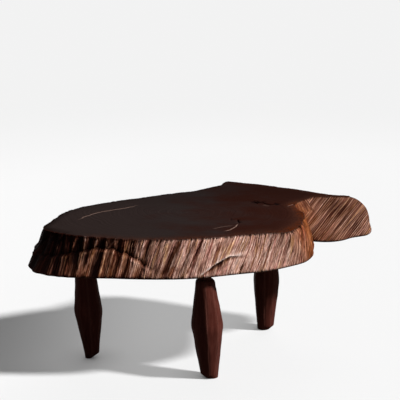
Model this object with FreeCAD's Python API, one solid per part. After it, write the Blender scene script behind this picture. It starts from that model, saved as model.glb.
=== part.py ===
import FreeCAD, Part
import math
import os

# A live-edge coffee table: one thick free-form slab of wood on three carved eight-sided legs.
# Millimetres, +Z up. The origin is the middle of the table's bounding box, on the floor.

# Table and slab. The length and depth are the plank's, and the live edge's stations are shares
# of them that stay a little inside.
table_height = 420.0
slab_thickness = 105.0
slab_length = 1005.0
slab_depth = 701.0
# Radius along the lower arris, and the small worn chamfer along the top rim
underside_round = 8.0
rim_round = 3.0
# The edge's main flutes, and the ledge round the left end: how far the edge swells below it,
# how far it is cut back above it, and the height of the step between
flute_depth = 5.0
ledge_swell = 3.5
ledge_cut = 6.0
ledge_band = 5.0
# How deep the wing's tip is hollowed below its middle
waist_depth = 5.0

# Leg sizes that all three legs share. Widths are across opposite corners of the octagon, the
# belly is the widest ring and the toe is what touches the floor. Above the neck the leg rounds
# in to a short collar, whose end is the shoulder that bears on the slab.
leg_sides = 8
neck_width = 56.0
collar_width = 38.0
collar_height = 18.0
shoulder_width = 36.0
shoulder_drop = 36.0

# Left leg
left_foot_width = 42.0
left_belly_width = 82.0
left_belly_height = 145.0
left_toe_width = 18.0
left_toe_height = 17.0
left_toe_shift = -11.0
left_lean = -19.0
left_turn_degrees = 8.0

# Front leg
front_foot_width = 50.0
front_belly_width = 91.0
front_belly_height = 158.0
front_toe_width = 36.0
front_toe_height = 12.0
front_toe_shift = 6.0
front_lean = -14.0
front_turn_degrees = 0.0

# Right leg
right_foot_width = 50.0
right_belly_width = 79.0
right_belly_height = 154.0
right_toe_width = 36.0
right_toe_height = 12.0
right_toe_shift = -6.0
right_lean = 3.0
right_turn_degrees = -10.0

# Blind wedged joint between each leg and the slab
tenon_diameter = 32.0
tenon_length = 55.0
mortise_end_gap = 2.0
glue_gap = 0.15
wedge_length = 38.0
wedge_side_gap = 2.0
wedge_head = 6.0
wedge_tip = 1.2
kerf_runout = 4.0

# Where each leg stands on the floor, from the slab's middle
left_stand_share = (-0.330, -0.164)
front_stand_share = (0.014, -0.383)
right_stand_share = (0.187, 0.197)

# Stations along the live edge, anticlockwise seen from above, as shares of the slab's length
# and depth from its middle. Each row has the rim's x and y, then the x and y of the widest
# outline just above the underside, then how far the edge bulges between them: 0 slopes
# evenly, 1 is a quarter ellipse and a negative share is hollow.
# The back edge, from the wing's tip to the far corner:
back_edge_shares = [
    (0.438, 0.213, 0.503, 0.168, 1.0),
    (0.425, 0.226, 0.490, 0.228, 1.0),
    (0.394, 0.235, 0.433, 0.274, 0.6),
    (0.345, 0.272, 0.364, 0.317, 0.2),
    (0.291, 0.320, 0.306, 0.364, 0.0),
    (0.232, 0.362, 0.246, 0.407, 0.0),
    (0.171, 0.405, 0.184, 0.449, 0.0),
    (0.125, 0.429, 0.136, 0.475, 0.0),
]
# From the far corner round the left end, along the near side and up to the notch:
round_edge_shares = [
    (0.074, 0.454, 0.081, 0.500, 0.0),
    (0.061, 0.440, 0.056, 0.484, 0.0),
    (0.047, 0.394, 0.022, 0.430, 0.0),
    (0.008, 0.348, -0.014, 0.388, 0.0),
    (-0.029, 0.301, -0.045, 0.347, 0.0),
    (-0.074, 0.277, -0.088, 0.325, 0.0),
    (-0.134, 0.237, -0.151, 0.284, 0.0),
    (-0.194, 0.191, -0.212, 0.237, 0.0),
    (-0.253, 0.153, -0.273, 0.198, 0.0),
    (-0.310, 0.106, -0.334, 0.148, 0.0),
    (-0.368, 0.046, -0.395, 0.083, 0.0),
    (-0.406, -0.014, -0.433, 0.011, -0.2),
    (-0.434, -0.094, -0.467, -0.083, -0.4),
    (-0.451, -0.165, -0.488, -0.171, -0.5),
    (-0.462, -0.237, -0.497, -0.278, -0.5),
    (-0.442, -0.285, -0.491, -0.357, -0.5),
    (-0.415, -0.317, -0.460, -0.414, -0.4),
    (-0.379, -0.348, -0.401, -0.451, -0.3),
    (-0.325, -0.378, -0.347, -0.465, -0.2),
    (-0.260, -0.402, -0.278, -0.470, -0.2),
    (-0.209, -0.418, -0.211, -0.479, -0.2),
    (-0.144, -0.425, -0.144, -0.484, -0.1),
    (-0.069, -0.421, -0.069, -0.481, 0.0),
    (-0.013, -0.407, -0.012, -0.468, 0.0),
    (0.048, -0.385, 0.045, -0.442, 0.0),
    (0.114, -0.356, 0.105, -0.413, 0.0),
    (0.167, -0.337, 0.187, -0.371, 0.0),
    (0.227, -0.324, 0.249, -0.312, 0.0),
    (0.250, -0.300, 0.288, -0.263, 0.3),
    (0.273, -0.237, 0.310, -0.204, 0.3),
    (0.286, -0.158, 0.318, -0.150, 0.3),
    (0.294, -0.087, 0.320, -0.086, 0.3),
    (0.288, -0.021, 0.320, -0.021, 0.0),
    (0.275, 0.031, 0.315, 0.014, 0.0),
]
# From the notch along the wing's broad sloping face, back to the tip:
wing_edge_shares = [
    (0.269, 0.083, 0.313, 0.029, 0.0),
    (0.284, 0.128, 0.343, 0.017, 0.0),
    (0.303, 0.160, 0.373, 0.017, 0.0),
    (0.334, 0.202, 0.419, 0.047, 0.0),
    (0.364, 0.206, 0.442, 0.077, 0.2),
    (0.398, 0.206, 0.490, 0.117, 0.6),
]

# The main flutes along the back edge and along the round edge. Each row has the flute's place
# at the rim and at its foot, as shares of the way along that edge, and its share of the depth.
# Rows without depth only keep the turns near the corners round.
back_flute_shares = [
    (0.080, 0.080, 0.0), (0.160, 0.160, 0.0), (0.255, 0.245, 0.6), (0.380, 0.365, 0.9),
    (0.500, 0.485, 0.7), (0.630, 0.610, 1.0), (0.750, 0.735, 0.7), (0.870, 0.865, 0.8),
]
round_flute_shares = [
    (0.012, 0.012, 0.0), (0.036, 0.032, 0.7), (0.066, 0.058, 1.0), (0.092, 0.083, 0.6),
    (0.125, 0.112, 1.0), (0.151, 0.138, 0.7), (0.184, 0.168, 0.9), (0.209, 0.192, 0.6),
    (0.243, 0.224, 1.0), (0.272, 0.252, 0.7), (0.300, 0.281, 1.0), (0.331, 0.313, 0.8),
    (0.358, 0.342, 0.9), (0.384, 0.372, 0.7), (0.410, 0.403, 1.0), (0.434, 0.432, 0.8),
    (0.458, 0.462, 0.9), (0.481, 0.489, 0.8), (0.503, 0.508, 0.9), (0.519, 0.522, 0.7),
    (0.534, 0.536, 0.9), (0.549, 0.549, 0.7), (0.567, 0.566, 1.0), (0.581, 0.579, 0.6),
    (0.596, 0.591, 0.7), (0.617, 0.607, 0.8), (0.645, 0.630, 0.8), (0.660, 0.644, 0.5),
    (0.686, 0.668, 1.0), (0.708, 0.690, 0.7), (0.721, 0.703, 0.9), (0.754, 0.735, 0.5),
    (0.775, 0.757, 0.6), (0.803, 0.782, 0.6), (0.838, 0.808, 0.8), (0.857, 0.826, 0.5),
    (0.878, 0.847, 0.6), (0.905, 0.873, 0.5), (0.935, 0.908, 0.6), (0.962, 0.945, 0.5),
    (0.985, 0.982, 0.0),
]
# The ledge's line. Each row has a place, whose whole number is the edge (0 back, 1 round, 2
# wing) and whose rest is the share of the way along it, then the height as a share of the
# edge's and how much of the ledge there is. Without a ledge the row only sets a level's height.
ledge_shares = [
    (0.000, 0.22, 0.0), (1.387, 0.25, 0.0), (1.430, 0.30, 0.3), (1.459, 0.33, 0.8),
    (1.480, 0.35, 1.0), (1.501, 0.37, 1.0), (1.524, 0.47, 1.0), (1.544, 0.59, 1.0),
    (1.560, 0.67, 1.0), (1.581, 0.68, 1.0), (1.599, 0.60, 1.0), (1.616, 0.50, 1.0),
    (1.635, 0.30, 1.0), (1.653, 0.12, 0.0), (1.720, 0.30, 0.0), (2.000, 0.30, 0.0),
    (3.000, 0.22, 0.0),
]
# How much of the hollow there is at the wing's tip, on the same places
waist_shares = [(0.00, 1.0), (0.10, 0.8), (0.24, 0.0), (2.75, 0.0), (2.90, 0.7), (3.00, 1.0)]

# Outlines of the edge between the lower arris and the rim: each level's share of the way up to
# the ledge or from the ledge to the rim, how much of the swell or the cut it has, and how much
# of the hollow at the wing's tip, which is let out above
below_ledge_shares = [(0.5, 0.7, 0.5), (1.0, 1.0, 0.9)]
above_ledge_shares = [(0.0, 1.0, 1.0), (0.3, 0.4, 0.6), (0.6, 0.1, -0.5), (0.87, 0.0, -0.3)]
arris_steps = 3
shoulder_steps = 4

underside_z = table_height - slab_thickness
side_start = underside_z + underside_round
side_height = table_height - rim_round - side_start
lean_rounds = 4
mortise_depth = tenon_length + mortise_end_gap


def rounded(share):
    """A quarter ellipse: 1 at share 0, falling to 0 at share 1."""
    return math.sqrt(1.0 - share ** 2)


# The wedge's head is as wide as the round tenon lets it be
wedge_width = tenon_diameter * rounded(wedge_head / tenon_diameter) - 2 * wedge_side_gap


def scaled(share_x, share_y):
    """A place on the slab from its shares of the length and the depth."""
    return FreeCAD.Vector(share_x * slab_length, share_y * slab_depth, 0)


def path_parameters(points):
    """Rising numbers from 0 to 1 that follow the length of the path through the points."""
    lengths = [0.0]
    for start, end in zip(points, points[1:]):
        lengths.append(lengths[-1] + start.distanceToPoint(end))
    return [length / lengths[-1] for length in lengths]


def smooth_curve(points, parameters):
    """The smooth curve that passes each point at its parameter."""
    curve = Part.BSplineCurve()
    curve.interpolate(Points=points, Parameters=parameters)
    return curve


def make_edge_runs():
    """The back, round and wing edges, which meet at the corners.

    Each run has the curve of its rim, that of its widest outline, and that of the rim moved out
    by the stations' bulges, and the rows of places at which its outlines get a point."""
    runs = [back_edge_shares, round_edge_shares, wing_edge_shares]
    made = []
    for number, (shares, flutes) in enumerate(
        zip(runs, [back_flute_shares, round_flute_shares, None])
    ):
        rim = []
        widest = []
        bulged = []
        for rim_x, rim_y, wide_x, wide_y, bulge in shares + runs[(number + 1) % len(runs)][:1]:
            rim.append(scaled(rim_x, rim_y))
            widest.append(scaled(wide_x, wide_y))
            bulged.append(rim[-1] + (widest[-1] - rim[-1]) * bulge)
        parameters = path_parameters(widest)
        curves = [smooth_curve(points, parameters) for points in (rim, widest, bulged)]
        if flutes is None:
            rows = [(place, place, 0.0) for place in parameters]
        else:
            rows = with_ridges([(0.0, 0.0, 0.0)] + flutes + [(1.0, 1.0, 0.0)])
        made.append((curves, rows))
    return made


def with_ridges(flutes):
    """The rows of flutes with a ridge halfway between each two."""
    rows = flutes[:1]
    for before, after in zip(flutes, flutes[1:]):
        rows.append(((before[0] + after[0]) / 2, (before[1] + after[1]) / 2, 0.0))
        rows.append(after)
    return rows


def edge_point(curves, place, height_share):
    """The point of the edge at a place and a height: 0 is the widest outline and 1 the rim."""
    rim, widest, bulged = [curve.value(place) for curve in curves]
    even_flare = 1.0 - height_share
    return (
        rim
        + (widest - rim) * even_flare
        + (bulged - rim) * (rounded(height_share) - even_flare)
    )


def shares_at(table, place):
    """The table's shares at a place on the whole outline."""
    for before, after in zip(table, table[1:]):
        if place <= after[0]:
            along = (place - before[0]) / (after[0] - before[0])
            return [start + (end - start) * along for start, end in zip(before[1:], after[1:])]
    return table[-1][1:]


def inset_points(points, distances):
    """The points moved inwards by their distances, square to the outline."""
    steps = []
    for start, end in zip(points, points[1:] + points[:1]):
        step = end - start
        step.z = 0
        steps.append(step / step.Length)
    moved = []
    for index, (point, distance) in enumerate(zip(points, distances)):
        run = steps[index - 1] + steps[index]
        inwards = FreeCAD.Vector(-run.y, run.x, 0) / run.Length
        moved.append(point + inwards * distance)
    return moved


def level_points(runs, share_at, flute_share, inset, ledge_depth=0, hollow_depth=0):
    """The edge's points at one level.

    share_at gives the level's height share from the ledge's. A flute's place there depends on
    the height and the ledge's height on the place, so both are found in a few rounds."""
    points = []
    distances = []
    for number, (curves, rows) in enumerate(runs):
        for rim_place, foot_place, depth_share in rows[:-1]:
            share = 0.5
            for _ in range(lean_rounds):
                place = foot_place + (rim_place - foot_place) * share
                ledge_height, ledge_size = shares_at(ledge_shares, number + place)
                share = share_at(ledge_height)
            point = edge_point(curves, place, share)
            point.z = side_start + side_height * share
            points.append(point)
            waist_size = shares_at(waist_shares, number + place)[0]
            distances.append(
                inset
                + flute_depth * depth_share * flute_share
                + ledge_depth * ledge_size
                + hollow_depth * waist_size
            )
    return inset_points(points, distances)


def at_height(points, z):
    """The same points on one level."""
    return [FreeCAD.Vector(point.x, point.y, z) for point in points]


def slab_levels(runs):
    """The points of each outline of the slab, from the underside to the top."""
    levels = []
    for step in range(arris_steps + 1):
        angle = math.radians(90.0 * step / arris_steps)
        inset = underside_round * (1.0 - math.sin(angle))
        z = underside_z + underside_round * (1.0 - math.cos(angle))
        points = level_points(runs, lambda ledge: 0.0, math.sin(angle), inset)
        levels.append(at_height(points, z))
    for level_share, swell_share, hollow_share in below_ledge_shares:
        levels.append(
            level_points(
                runs,
                lambda ledge: ledge * level_share,
                1.0,
                0,
                -ledge_swell * swell_share,
                waist_depth * hollow_share,
            )
        )
    band_share = ledge_band / side_height
    for level_share, cut_share, hollow_share in above_ledge_shares:
        levels.append(
            level_points(
                runs,
                lambda ledge: ledge + band_share + (1.0 - ledge - band_share) * level_share,
                1.0,
                0,
                ledge_cut * cut_share,
                waist_depth * hollow_share,
            )
        )
    levels.append(level_points(runs, lambda ledge: 1.0, 1.0, 0))
    top = level_points(runs, lambda ledge: 1.0, 1.0, rim_round)
    levels.append(at_height(top, table_height))
    return levels


def outline_wire(runs, points):
    """A closed wire of one smooth curve for each run of points."""
    edges = []
    first = 0
    for _, rows in runs:
        last = first + len(rows) - 1
        along = points[first:last] + [points[last % len(points)]]
        edges.append(smooth_curve(along, [row[0] for row in rows]).toShape())
        first = last
    return Part.Wire(edges)


def make_slab(leg_tops):
    """The slab with its live edge, and a blind mortise in its underside for each leg."""
    runs = make_edge_runs()
    wires = [outline_wire(runs, points) for points in slab_levels(runs)]
    slab = Part.makeLoft(wires, True, True)
    for x, y in leg_tops:
        mortise = Part.makeCylinder(
            tenon_diameter / 2 + glue_gap, mortise_depth, FreeCAD.Vector(x, y, underside_z)
        )
        slab = slab.cut(mortise)
    return slab


def octagon(x, y, z, width, turn):
    """A level wire with one corner facing the near side when turn is 0."""
    corners = []
    for side in range(leg_sides + 1):
        angle = math.radians(turn - 90.0 + 360.0 / leg_sides * side)
        corners.append(
            FreeCAD.Vector(x + width / 2 * math.cos(angle), y + width / 2 * math.sin(angle), z)
        )
    return Part.makePolygon(corners)


def tapered_blank(top, spread, width):
    """The wedge's shape, thick end up, grown by spread on both broad faces."""
    head_z = underside_z + mortise_depth
    tip_z = head_z - wedge_length
    half_head = wedge_head / 2 + spread
    half_tip = wedge_tip / 2 + spread
    corners = []
    for across, z in [
        (-half_tip, tip_z), (half_tip, tip_z), (half_head, head_z), (-half_head, head_z),
        (-half_tip, tip_z),
    ]:
        corners.append(FreeCAD.Vector(top[0] + across, top[1] - width / 2, z))
    face = Part.Face(Part.makePolygon(corners))
    return face.extrude(FreeCAD.Vector(0, width, 0))


def make_wedge(top):
    """The hardwood wedge that spreads the tenon inside the blind mortise."""
    return tapered_blank(top, 0, wedge_width)


def make_kerf(top):
    """The saw cut that the wedge opens, with its uncut foot below the wedge's tip."""
    width = tenon_diameter + 2 * glue_gap
    half_tip = wedge_tip / 2 + glue_gap
    corner = FreeCAD.Vector(
        top[0] - half_tip,
        top[1] - width / 2,
        underside_z + mortise_depth - wedge_length - kerf_runout,
    )
    foot = Part.makeBox(2 * half_tip, width, kerf_runout, corner)
    return tapered_blank(top, glue_gap, width).fuse(foot)


def leg_rings(toe, foot_width, belly_width, belly_height):
    """Height, width and sideways shift of each ring, from the floor to the slab."""
    toe_width, toe_height, toe_shift = toe
    rings = [
        (0.0, toe_width, toe_shift),
        (toe_height, foot_width, 0.0),
        (belly_height, belly_width, 0.0),
    ]
    neck_z = underside_z - shoulder_drop
    collar_z = underside_z - collar_height
    for step in range(shoulder_steps + 1):
        share = step / shoulder_steps
        width = collar_width + (neck_width - collar_width) * rounded(share)
        rings.append((neck_z + (collar_z - neck_z) * share, width, 0.0))
    rings.append((underside_z, shoulder_width, 0.0))
    return rings


def make_leg(stand, lean, turn, rings):
    """One carved leg with its round tenon and the saw kerf for the wedge."""
    wires = []
    for z, width, shift in rings:
        x = stand[0] + lean * z / underside_z + shift
        wires.append(octagon(x, stand[1], z, width, turn))
    leg = Part.makeLoft(wires, True, True)
    top = (stand[0] + lean, stand[1])
    tenon = Part.makeCylinder(
        tenon_diameter / 2,
        tenon_length + shoulder_drop,
        FreeCAD.Vector(top[0], top[1], underside_z - shoulder_drop),
    )
    return leg.fuse(tenon).removeSplitter().cut(make_kerf(top))


left_toe = (left_toe_width, left_toe_height, left_toe_shift)
front_toe = (front_toe_width, front_toe_height, front_toe_shift)
right_toe = (right_toe_width, right_toe_height, right_toe_shift)
left_rings = leg_rings(left_toe, left_foot_width, left_belly_width, left_belly_height)
front_rings = leg_rings(front_toe, front_foot_width, front_belly_width, front_belly_height)
right_rings = leg_rings(right_toe, right_foot_width, right_belly_width, right_belly_height)

nodes = {}
leg_tops = []
for name, stand_share, lean, turn, rings in [
    ("left", left_stand_share, left_lean, left_turn_degrees, left_rings),
    ("front", front_stand_share, front_lean, front_turn_degrees, front_rings),
    ("right", right_stand_share, right_lean, right_turn_degrees, right_rings),
]:
    stand = (stand_share[0] * slab_length, stand_share[1] * slab_depth)
    top = (stand[0] + lean, stand[1])
    leg_tops.append(top)
    nodes["leg_" + name] = make_leg(stand, lean, turn, rings)
    nodes["wedge_" + name] = make_wedge(top)
nodes["slab_top"] = make_slab(leg_tops)

# The origin goes to the middle of the bounding box
box = nodes["slab_top"].optimalBoundingBox(False, False)
shift = FreeCAD.Vector(-box.Center.x, -box.Center.y, 0)
os.makedirs("parts", exist_ok=True)
for name, shape in nodes.items():
    shape.translate(shift)
    shape.exportStep("parts/" + name + ".step")
    print(name, "valid", shape.isValid(), "solids", len(shape.Solids), "volume", round(shape.Volume))
print("moved by", shift)
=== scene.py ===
import math

import bpy
import numpy as np
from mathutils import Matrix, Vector, geometry, kdtree


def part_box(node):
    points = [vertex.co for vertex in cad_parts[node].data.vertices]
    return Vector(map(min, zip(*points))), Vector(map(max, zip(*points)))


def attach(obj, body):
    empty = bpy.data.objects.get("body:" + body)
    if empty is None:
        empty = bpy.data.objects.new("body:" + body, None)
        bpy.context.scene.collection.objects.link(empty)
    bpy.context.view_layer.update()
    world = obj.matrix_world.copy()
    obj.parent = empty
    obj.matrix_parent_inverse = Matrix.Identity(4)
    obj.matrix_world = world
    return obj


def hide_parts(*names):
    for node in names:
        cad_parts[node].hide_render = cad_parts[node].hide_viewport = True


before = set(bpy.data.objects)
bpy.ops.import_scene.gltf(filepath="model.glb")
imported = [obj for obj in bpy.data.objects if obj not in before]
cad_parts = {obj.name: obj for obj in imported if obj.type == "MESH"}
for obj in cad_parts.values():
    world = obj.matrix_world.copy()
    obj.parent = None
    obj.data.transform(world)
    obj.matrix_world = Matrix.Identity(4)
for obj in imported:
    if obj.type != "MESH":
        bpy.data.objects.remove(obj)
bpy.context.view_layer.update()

# A live-edge coffee table: one thick slab of dark waxed wood on three carved eight-sided legs.
# Metres, +Z up. The slab's height and the joints' places come from the frame.
slab_low, slab_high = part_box("slab_top")
UNDER_Z = slab_low.z
TOP_Z = slab_high.z
SLAB_LENGTH = 1.005
SLAB_DEPTH = 0.701
UNDER_ROUND = 0.008
RIM_ROUND = 0.003
# Height of the edge between its two rounded arrises
SIDE_HEIGHT = TOP_Z - RIM_ROUND - (UNDER_Z + UNDER_ROUND)

# Stations along the live edge, anticlockwise seen from above, as shares of the slab's length
# and depth. Each row has the rim's x and y, then the x and y of the widest outline just above
# the underside, then how far the edge bulges between them: 0 slopes evenly, 1 is a quarter
# ellipse and a negative share is hollow. The back edge comes first, from the wing's tip.
STATION_SHARES = [
    (0.438, 0.213, 0.503, 0.168, 1.0),
    (0.425, 0.226, 0.490, 0.228, 1.0),
    (0.394, 0.235, 0.433, 0.274, 0.6),
    (0.345, 0.272, 0.364, 0.317, 0.2),
    (0.291, 0.320, 0.306, 0.364, 0.0),
    (0.232, 0.362, 0.246, 0.407, 0.0),
    (0.171, 0.405, 0.184, 0.449, 0.0),
    (0.125, 0.429, 0.136, 0.475, 0.0),
    (0.074, 0.454, 0.081, 0.500, 0.0),
    (0.061, 0.440, 0.056, 0.484, 0.0),
    (0.047, 0.394, 0.022, 0.430, 0.0),
    (0.008, 0.348, -0.014, 0.388, 0.0),
    (-0.029, 0.301, -0.045, 0.347, 0.0),
    (-0.074, 0.277, -0.088, 0.325, 0.0),
    (-0.134, 0.237, -0.151, 0.284, 0.0),
    (-0.194, 0.191, -0.212, 0.237, 0.0),
    (-0.253, 0.153, -0.273, 0.198, 0.0),
    (-0.310, 0.106, -0.334, 0.148, 0.0),
    (-0.368, 0.046, -0.395, 0.083, 0.0),
    (-0.406, -0.014, -0.433, 0.011, -0.2),
    (-0.434, -0.094, -0.467, -0.083, -0.4),
    (-0.451, -0.165, -0.488, -0.171, -0.5),
    (-0.462, -0.237, -0.497, -0.278, -0.5),
    (-0.442, -0.285, -0.491, -0.357, -0.5),
    (-0.415, -0.317, -0.460, -0.414, -0.4),
    (-0.379, -0.348, -0.401, -0.451, -0.3),
    (-0.325, -0.378, -0.347, -0.465, -0.2),
    (-0.260, -0.402, -0.278, -0.470, -0.2),
    (-0.209, -0.418, -0.211, -0.479, -0.2),
    (-0.144, -0.425, -0.144, -0.484, -0.1),
    (-0.069, -0.421, -0.069, -0.481, 0.0),
    (-0.013, -0.407, -0.012, -0.468, 0.0),
    (0.048, -0.385, 0.045, -0.442, 0.0),
    (0.114, -0.356, 0.105, -0.413, 0.0),
    (0.167, -0.337, 0.187, -0.371, 0.0),
    (0.227, -0.324, 0.249, -0.312, 0.0),
    (0.250, -0.300, 0.288, -0.263, 0.3),
    (0.273, -0.237, 0.310, -0.204, 0.3),
    (0.286, -0.158, 0.318, -0.150, 0.3),
    (0.294, -0.087, 0.320, -0.086, 0.3),
    (0.288, -0.021, 0.320, -0.021, 0.0),
    (0.275, 0.031, 0.315, 0.014, 0.0),
    (0.269, 0.083, 0.313, 0.029, 0.0),
    (0.284, 0.128, 0.343, 0.017, 0.0),
    (0.303, 0.160, 0.373, 0.017, 0.0),
    (0.334, 0.202, 0.419, 0.047, 0.0),
    (0.364, 0.206, 0.442, 0.077, 0.2),
    (0.398, 0.206, 0.490, 0.117, 0.6),
]
# The wing's tip, the far corner and the notch, where smooth runs of stations meet
CORNER_STATIONS = (0, 8, 42, 48)

# Places along the edge in these tables: the whole number is the edge (0 back, 1 round from the
# far corner to the notch, 2 wing) and the rest the share of the way along it.
# The main flutes of the back and of the round edge: a flute's share of the way at the rim and
# at its foot, and its share of the depth. Rows without depth keep the turns at the ends plain.
BACK_FLUTES = [
    (0.080, 0.080, 0.0), (0.160, 0.160, 0.0), (0.255, 0.245, 0.6), (0.380, 0.365, 0.9),
    (0.500, 0.485, 0.7), (0.630, 0.610, 1.0), (0.750, 0.735, 0.7), (0.870, 0.865, 0.8),
]
ROUND_FLUTES = [
    (0.012, 0.012, 0.0), (0.036, 0.032, 0.7), (0.066, 0.058, 1.0), (0.092, 0.083, 0.6),
    (0.125, 0.112, 1.0), (0.151, 0.138, 0.7), (0.184, 0.168, 0.9), (0.209, 0.192, 0.6),
    (0.243, 0.224, 1.0), (0.272, 0.252, 0.7), (0.300, 0.281, 1.0), (0.331, 0.313, 0.8),
    (0.358, 0.342, 0.9), (0.384, 0.372, 0.7), (0.410, 0.403, 1.0), (0.434, 0.432, 0.8),
    (0.458, 0.462, 0.9), (0.481, 0.489, 0.8), (0.503, 0.508, 0.9), (0.519, 0.522, 0.7),
    (0.534, 0.536, 0.9), (0.549, 0.549, 0.7), (0.567, 0.566, 1.0), (0.581, 0.579, 0.6),
    (0.596, 0.591, 0.7), (0.617, 0.607, 0.8), (0.645, 0.630, 0.8), (0.660, 0.644, 0.5),
    (0.686, 0.668, 1.0), (0.708, 0.690, 0.7), (0.721, 0.703, 0.9), (0.754, 0.735, 0.5),
    (0.775, 0.757, 0.6), (0.803, 0.782, 0.6), (0.838, 0.808, 0.8), (0.857, 0.826, 0.5),
    (0.878, 0.847, 0.6), (0.905, 0.873, 0.5), (0.935, 0.908, 0.6), (0.962, 0.945, 0.5),
    (0.985, 0.982, 0.0),
]
FLUTE_DEPTH = 0.005
# Depth of the smaller and the fine flutes between them, by place
SMALL_FLUTES = [
    (0.00, 0.0022, 0.0009), (0.40, 0.0022, 0.0008), (1.43, 0.0022, 0.0008),
    (1.62, 0.0022, 0.0010), (1.76, 0.0014, 0.0011), (1.88, 0.0012, 0.0011),
    (2.00, 0.0018, 0.0010), (3.00, 0.0022, 0.0009),
]
# How far out the wood between the smaller flutes stands
FLUTE_LEVEL = 0.0008
# How much the flutes bite into the rim, by place. Then how far the rim is worn in everywhere, how
# far more and how far down it is worn in a groove, and how far below the rim the two reach.
RIM_WEAR = [
    (0.00, 0.10), (1.36, 0.10), (1.45, 0.45), (1.51, 1.00), (1.91, 1.00), (1.97, 0.50),
    (2.14, 0.50), (2.64, 0.15), (3.00, 0.10),
]
RIM_BITE = 0.0010
GROOVE_BITE = 0.0045
GROOVE_DROP = 0.0022
BITE_REACH = 0.009
DROP_REACH = 0.004
# The wing: how much finer its grain lies than the rest, the share of the distance below the rim
# that its flutes go by, from one of its flutes to the next, how much painted shade darkens its
# grooves, and where past the tip its straight flutes give way to those of the back edge
WING_FINENESS = 1.7
WING_DOWN_SHARE = 0.4
WING_PITCH = 0.0074
WING_CONTRAST = 0.85
WING_FLUTES_FADE = (0.02, 0.09)
# The short upright flutes beside the notch: how far they reach from it, and their heights
UPRIGHT_REACH = (0.050, 0.090)
UPRIGHT_HEIGHTS = (0.62, 0.86)
# The wing's flutes lie in parallel planes: what a plane's x gains over each metre of y and z
WING_PLANE_LEAN = (0.237, 0.816)

# The ledge round the left end: place, height as a share of the edge's, and how much of it
# there is
LEDGE_ROWS = [
    (0.000, 0.22, 0.0), (1.387, 0.25, 0.0), (1.430, 0.30, 0.3), (1.459, 0.33, 0.8),
    (1.480, 0.35, 1.0), (1.501, 0.37, 1.0), (1.524, 0.47, 1.0), (1.544, 0.59, 1.0),
    (1.560, 0.67, 1.0), (1.581, 0.68, 1.0), (1.599, 0.60, 1.0), (1.616, 0.50, 1.0),
    (1.635, 0.30, 1.0), (1.653, 0.12, 0.0), (1.720, 0.30, 0.0), (2.000, 0.30, 0.0),
    (3.000, 0.22, 0.0),
]
LEDGE_SWELL = 0.0035
LEDGE_CUT = 0.006
LEDGE_BAND = 0.005
# The fuller left end: place, how much of the swell there is at the foot and above it, and how
# much of the lip
SWELL_ROWS = [
    (0.00, 0.0, 0.0, 0.0), (1.36, 0.0, 0.0, 0.0), (1.39, 0.2, 0.3, 0.8),
    (1.42, 0.4, 1.0, 1.4), (1.45, 0.8, 1.3, 1.6), (1.48, 1.6, 1.0, 0.2),
    (1.52, 1.8, 0.4, 0.0), (1.58, 0.6, 0.0, 0.0), (1.64, 0.0, 0.0, 0.0), (3.00, 0.0, 0.0, 0.0),
]
SWELL = 0.0048
LIP = 0.0045
LIP_HEIGHT = 0.385
LIP_HALF_HEIGHT = 0.075
# How much of the hollow there is at the wing's tip
WAIST_ROWS = [(0.00, 1.0), (0.10, 0.8), (0.24, 0.0), (2.75, 0.0), (2.90, 0.7), (3.00, 1.0)]
WAIST_DEPTH = 0.006
# The shape of the ledge and of the hollow up the edge. The first number is 1 at the ledge, 2 at
# the top of its step and 3 at the rim.
LEDGE_SHAPE = [
    (0.0, 0.0), (0.5, -0.7 * LEDGE_SWELL), (1.0, -LEDGE_SWELL), (1.25, -LEDGE_SWELL),
    (1.75, LEDGE_CUT), (2.0, LEDGE_CUT), (2.3, 0.4 * LEDGE_CUT), (2.6, 0.1 * LEDGE_CUT),
    (2.87, 0.0), (3.0, 0.0),
]
WAIST_SHAPE = [
    (0.0, 0.0), (0.5, 0.5), (1.0, 0.9), (2.0, 1.0), (2.3, 0.5), (2.6, -0.8), (2.87, -0.9),
    (3.0, -0.6),
]
# How much more the rim is worn round at the left end, by place, how far in and down, and how far
# below the rim it is worn in
LEFT_WEAR = [(0.00, 0.0), (1.33, 0.0), (1.39, 1.0), (1.46, 1.0), (1.52, 0.0), (3.00, 0.0)]
LEFT_WEAR_IN = 0.0040
LEFT_WEAR_DOWN = 0.0022
LEFT_WEAR_REACH = 0.012
# The plainer facet at the foot of the wing's tip: how far before the tip its middle lies, and its
# half width
TIP_FACET = (0.027, 0.028)
# Where the main flutes go over from fading out below the rim, as at the back, to reaching it
FLUTES_REACH_RIM = (1.43, 1.48)
# The leaf-shaped gash in the middle of the near side: place and height share
GASH_ROWS = [(1.735, 0.00), (1.740, 0.05), (1.756, 0.29), (1.770, 0.45), (1.793, 0.47)]
# Where it starts, where it is widest and where it ends
GASH_PLACES = (1.738, 1.762, 1.797)
GASH_DEPTH = 0.0060
GASH_LIP = 0.0018
# A small knot hole: place, height share, half width, half height and depth
KNOT_HOLE = (1.800, 0.12, 0.0035, 0.0080, 0.0070)
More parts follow.
